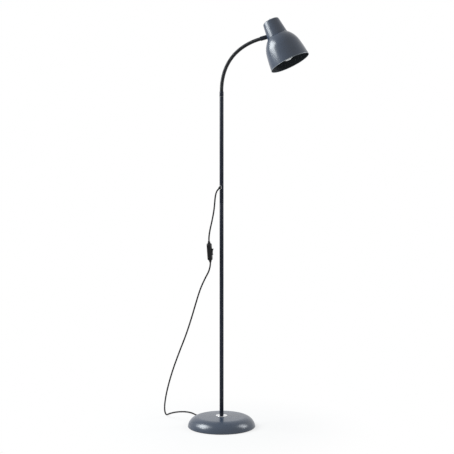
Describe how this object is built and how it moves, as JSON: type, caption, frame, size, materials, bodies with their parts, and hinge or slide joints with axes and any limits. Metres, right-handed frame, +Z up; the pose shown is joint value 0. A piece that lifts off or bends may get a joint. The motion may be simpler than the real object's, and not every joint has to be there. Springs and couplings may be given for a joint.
{
  "type": "gooseneck reading floor lamp",
  "caption": "Floor lamp with a domed round base, a slim upright pole, a ribbed gooseneck that bends and swings, a bell shade on a round cap, and a hanging cord with an inline rocker switch.",
  "frame": {"origin": "centre of the flat underside of the base, on the pole's axis", "axes": "+Z up along the pole, the neck and shade lean over towards +X, +Y completes the right-handed frame and points to the side where the spare cord is coiled"},
  "size_m": [0.5619, 0.3262, 1.4973],
  "materials": {
    "satin_paint": "satin blue-grey paint",
    "dark_paint": "satin dark slate paint",
    "neck_metal": "black, finely ribbed",
    "chrome": "bright",
    "zinc_steel": "zinc plated",
    "cast_weight": "as cast",
    "thread_brass": "pressed",
    "black_moulding": "moulded black",
    "cord_sheath": "smooth black sheath",
    "foam_pad": "matt foam",
    "white_carrier": "white insulating carrier",
    "frosted_glass": "frosted white",
    "bulb_metal": "pressed"
  },
  "bodies": {
    "stand": {"base_bolt": "zinc_steel", "base_cover": "satin_paint", "base_pad": "foam_pad", "base_weight": "cast_weight", "cord_coil": "cord_sheath", "cord_grommet": "cord_sheath", "cord_lower": "cord_sheath", "cord_tie": "cord_sheath", "cord_upper": "cord_sheath", "flange_washer": "chrome", "foot_insert": "zinc_steel", "head_insert": "chrome", "lead_in_pole": "cord_sheath", "lower_ferrule": "dark_paint", "plate_washer": "zinc_steel", "plug_body": "black_moulding", "plug_pins": "chrome", "pole_coupler_lower": "zinc_steel", "pole_coupler_upper": "zinc_steel", "pole_lower": "dark_paint", "pole_middle": "dark_paint", "pole_upper": "dark_paint", "spring_washer": "zinc_steel", "switch_front": "black_moulding", "switch_pin": "zinc_steel", "switch_rear": "black_moulding", "switch_screws": "zinc_steel"},
    "neck_01": {"neck_link_01": "neck_metal"},
    "neck_02": {"neck_link_02": "neck_metal"},
    "neck_03": {"neck_link_03": "neck_metal"},
    "neck_04": {"neck_link_04": "neck_metal"},
    "neck_05": {"neck_link_05": "neck_metal"},
    "neck_06": {"neck_link_06": "neck_metal"},
    "neck_07": {"neck_link_07": "neck_metal"},
    "neck_08": {"neck_link_08": "neck_metal"},
    "neck_09": {"neck_link_09": "neck_metal"},
    "neck_10": {"neck_link_10": "neck_metal"},
    "neck_11": {"neck_link_11": "neck_metal"},
    "neck_12": {"neck_link_12": "neck_metal"},
    "lamp_head": {"upper_ferrule": "dark_paint", "shade_cap": "satin_paint", "neck_washer": "zinc_steel", "neck_nut": "zinc_steel", "shade_bell": "satin_paint", "cap_finial": "chrome", "cap_screw": "zinc_steel", "holder_spacer": "zinc_steel", "holder_top": "black_moulding", "holder_skirt": "black_moulding", "holder_core": "white_carrier", "holder_sleeve": "thread_brass", "shade_ring": "black_moulding", "lead_in_cap": "cord_sheath", "bulb_glass": "frosted_glass", "bulb_cap": "bulb_metal"},
    "rocker": {"switch_rocker": "black_moulding"}
  },
  "joints": [
    {"name": "neck_bend_01", "type": "hinge", "parent": "stand", "child": "neck_01", "pos_m": [0, 0, 1.23025], "axis": [0, 1, 0], "range_deg": [-9, 8]},
    {"name": "neck_swing_01", "type": "hinge", "parent": "neck_01", "child": "neck_02", "pos_m": [0.00056, 0, 1.25147], "axis": [0.9975, 0, -0.0704], "range_deg": [-7.5, 7.5]},
    {"name": "neck_bend_02", "type": "hinge", "parent": "neck_02", "child": "neck_03", "pos_m": [0.00298, 0, 1.27256], "axis": [0, 1, 0], "range_deg": [-9, 8]},
    {"name": "neck_swing_02", "type": "hinge", "parent": "neck_03", "child": "neck_04", "pos_m": [0.00744, 0, 1.29331], "axis": [0.9651, 0, -0.2618], "range_deg": [-7.5, 7.5]},
    {"name": "neck_bend_03", "type": "hinge", "parent": "neck_04", "child": "neck_05", "pos_m": [0.01408, 0, 1.31347], "axis": [0, 1, 0], "range_deg": [-9, 8]},
    {"name": "neck_swing_03", "type": "hinge", "parent": "neck_05", "child": "neck_06", "pos_m": [0.02305, 0, 1.33269], "axis": [0.8776, 0, -0.4795], "range_deg": [-7.5, 7.5]},
    {"name": "neck_bend_04", "type": "hinge", "parent": "neck_06", "child": "neck_07", "pos_m": [0.03439, 0, 1.35063], "axis": [0, 1, 0], "range_deg": [-9, 8]},
    {"name": "neck_swing_04", "type": "hinge", "parent": "neck_07", "child": "neck_08", "pos_m": [0.04797, 0, 1.36694], "axis": [0.7253, 0, -0.6884], "range_deg": [-7.5, 7.5]},
    {"name": "neck_bend_05", "type": "hinge", "parent": "neck_08", "child": "neck_09", "pos_m": [0.06354, 0, 1.38135], "axis": [0, 1, 0], "range_deg": [-9, 8]},
    {"name": "neck_swing_05", "type": "hinge", "parent": "neck_09", "child": "neck_10", "pos_m": [0.08076, 0, 1.39375], "axis": [0.538, 0, -0.8429], "range_deg": [-7.5, 7.5]},
    {"name": "neck_bend_06", "type": "hinge", "parent": "neck_10", "child": "neck_11", "pos_m": [0.09926, 0, 1.40415], "axis": [0, 1, 0], "range_deg": [-9, 8]},
    {"name": "neck_swing_06", "type": "hinge", "parent": "neck_11", "child": "neck_12", "pos_m": [0.11872, 0, 1.41262], "axis": [0.3563, 0, -0.9344], "range_deg": [-7.5, 7.5]},
    {"name": "neck_bend_07", "type": "hinge", "parent": "neck_12", "child": "lamp_head", "pos_m": [0.13889, 0, 1.41926], "axis": [0, 1, 0], "range_deg": [-9, 8]},
    {"name": "switch_rocker", "type": "hinge", "parent": "stand", "child": "rocker", "pos_m": [-0.03456, -0.02755, 0.64334], "axis": [0.0007, -0.9999, -0.0106], "range_deg": [0, 16]}
  ]
}
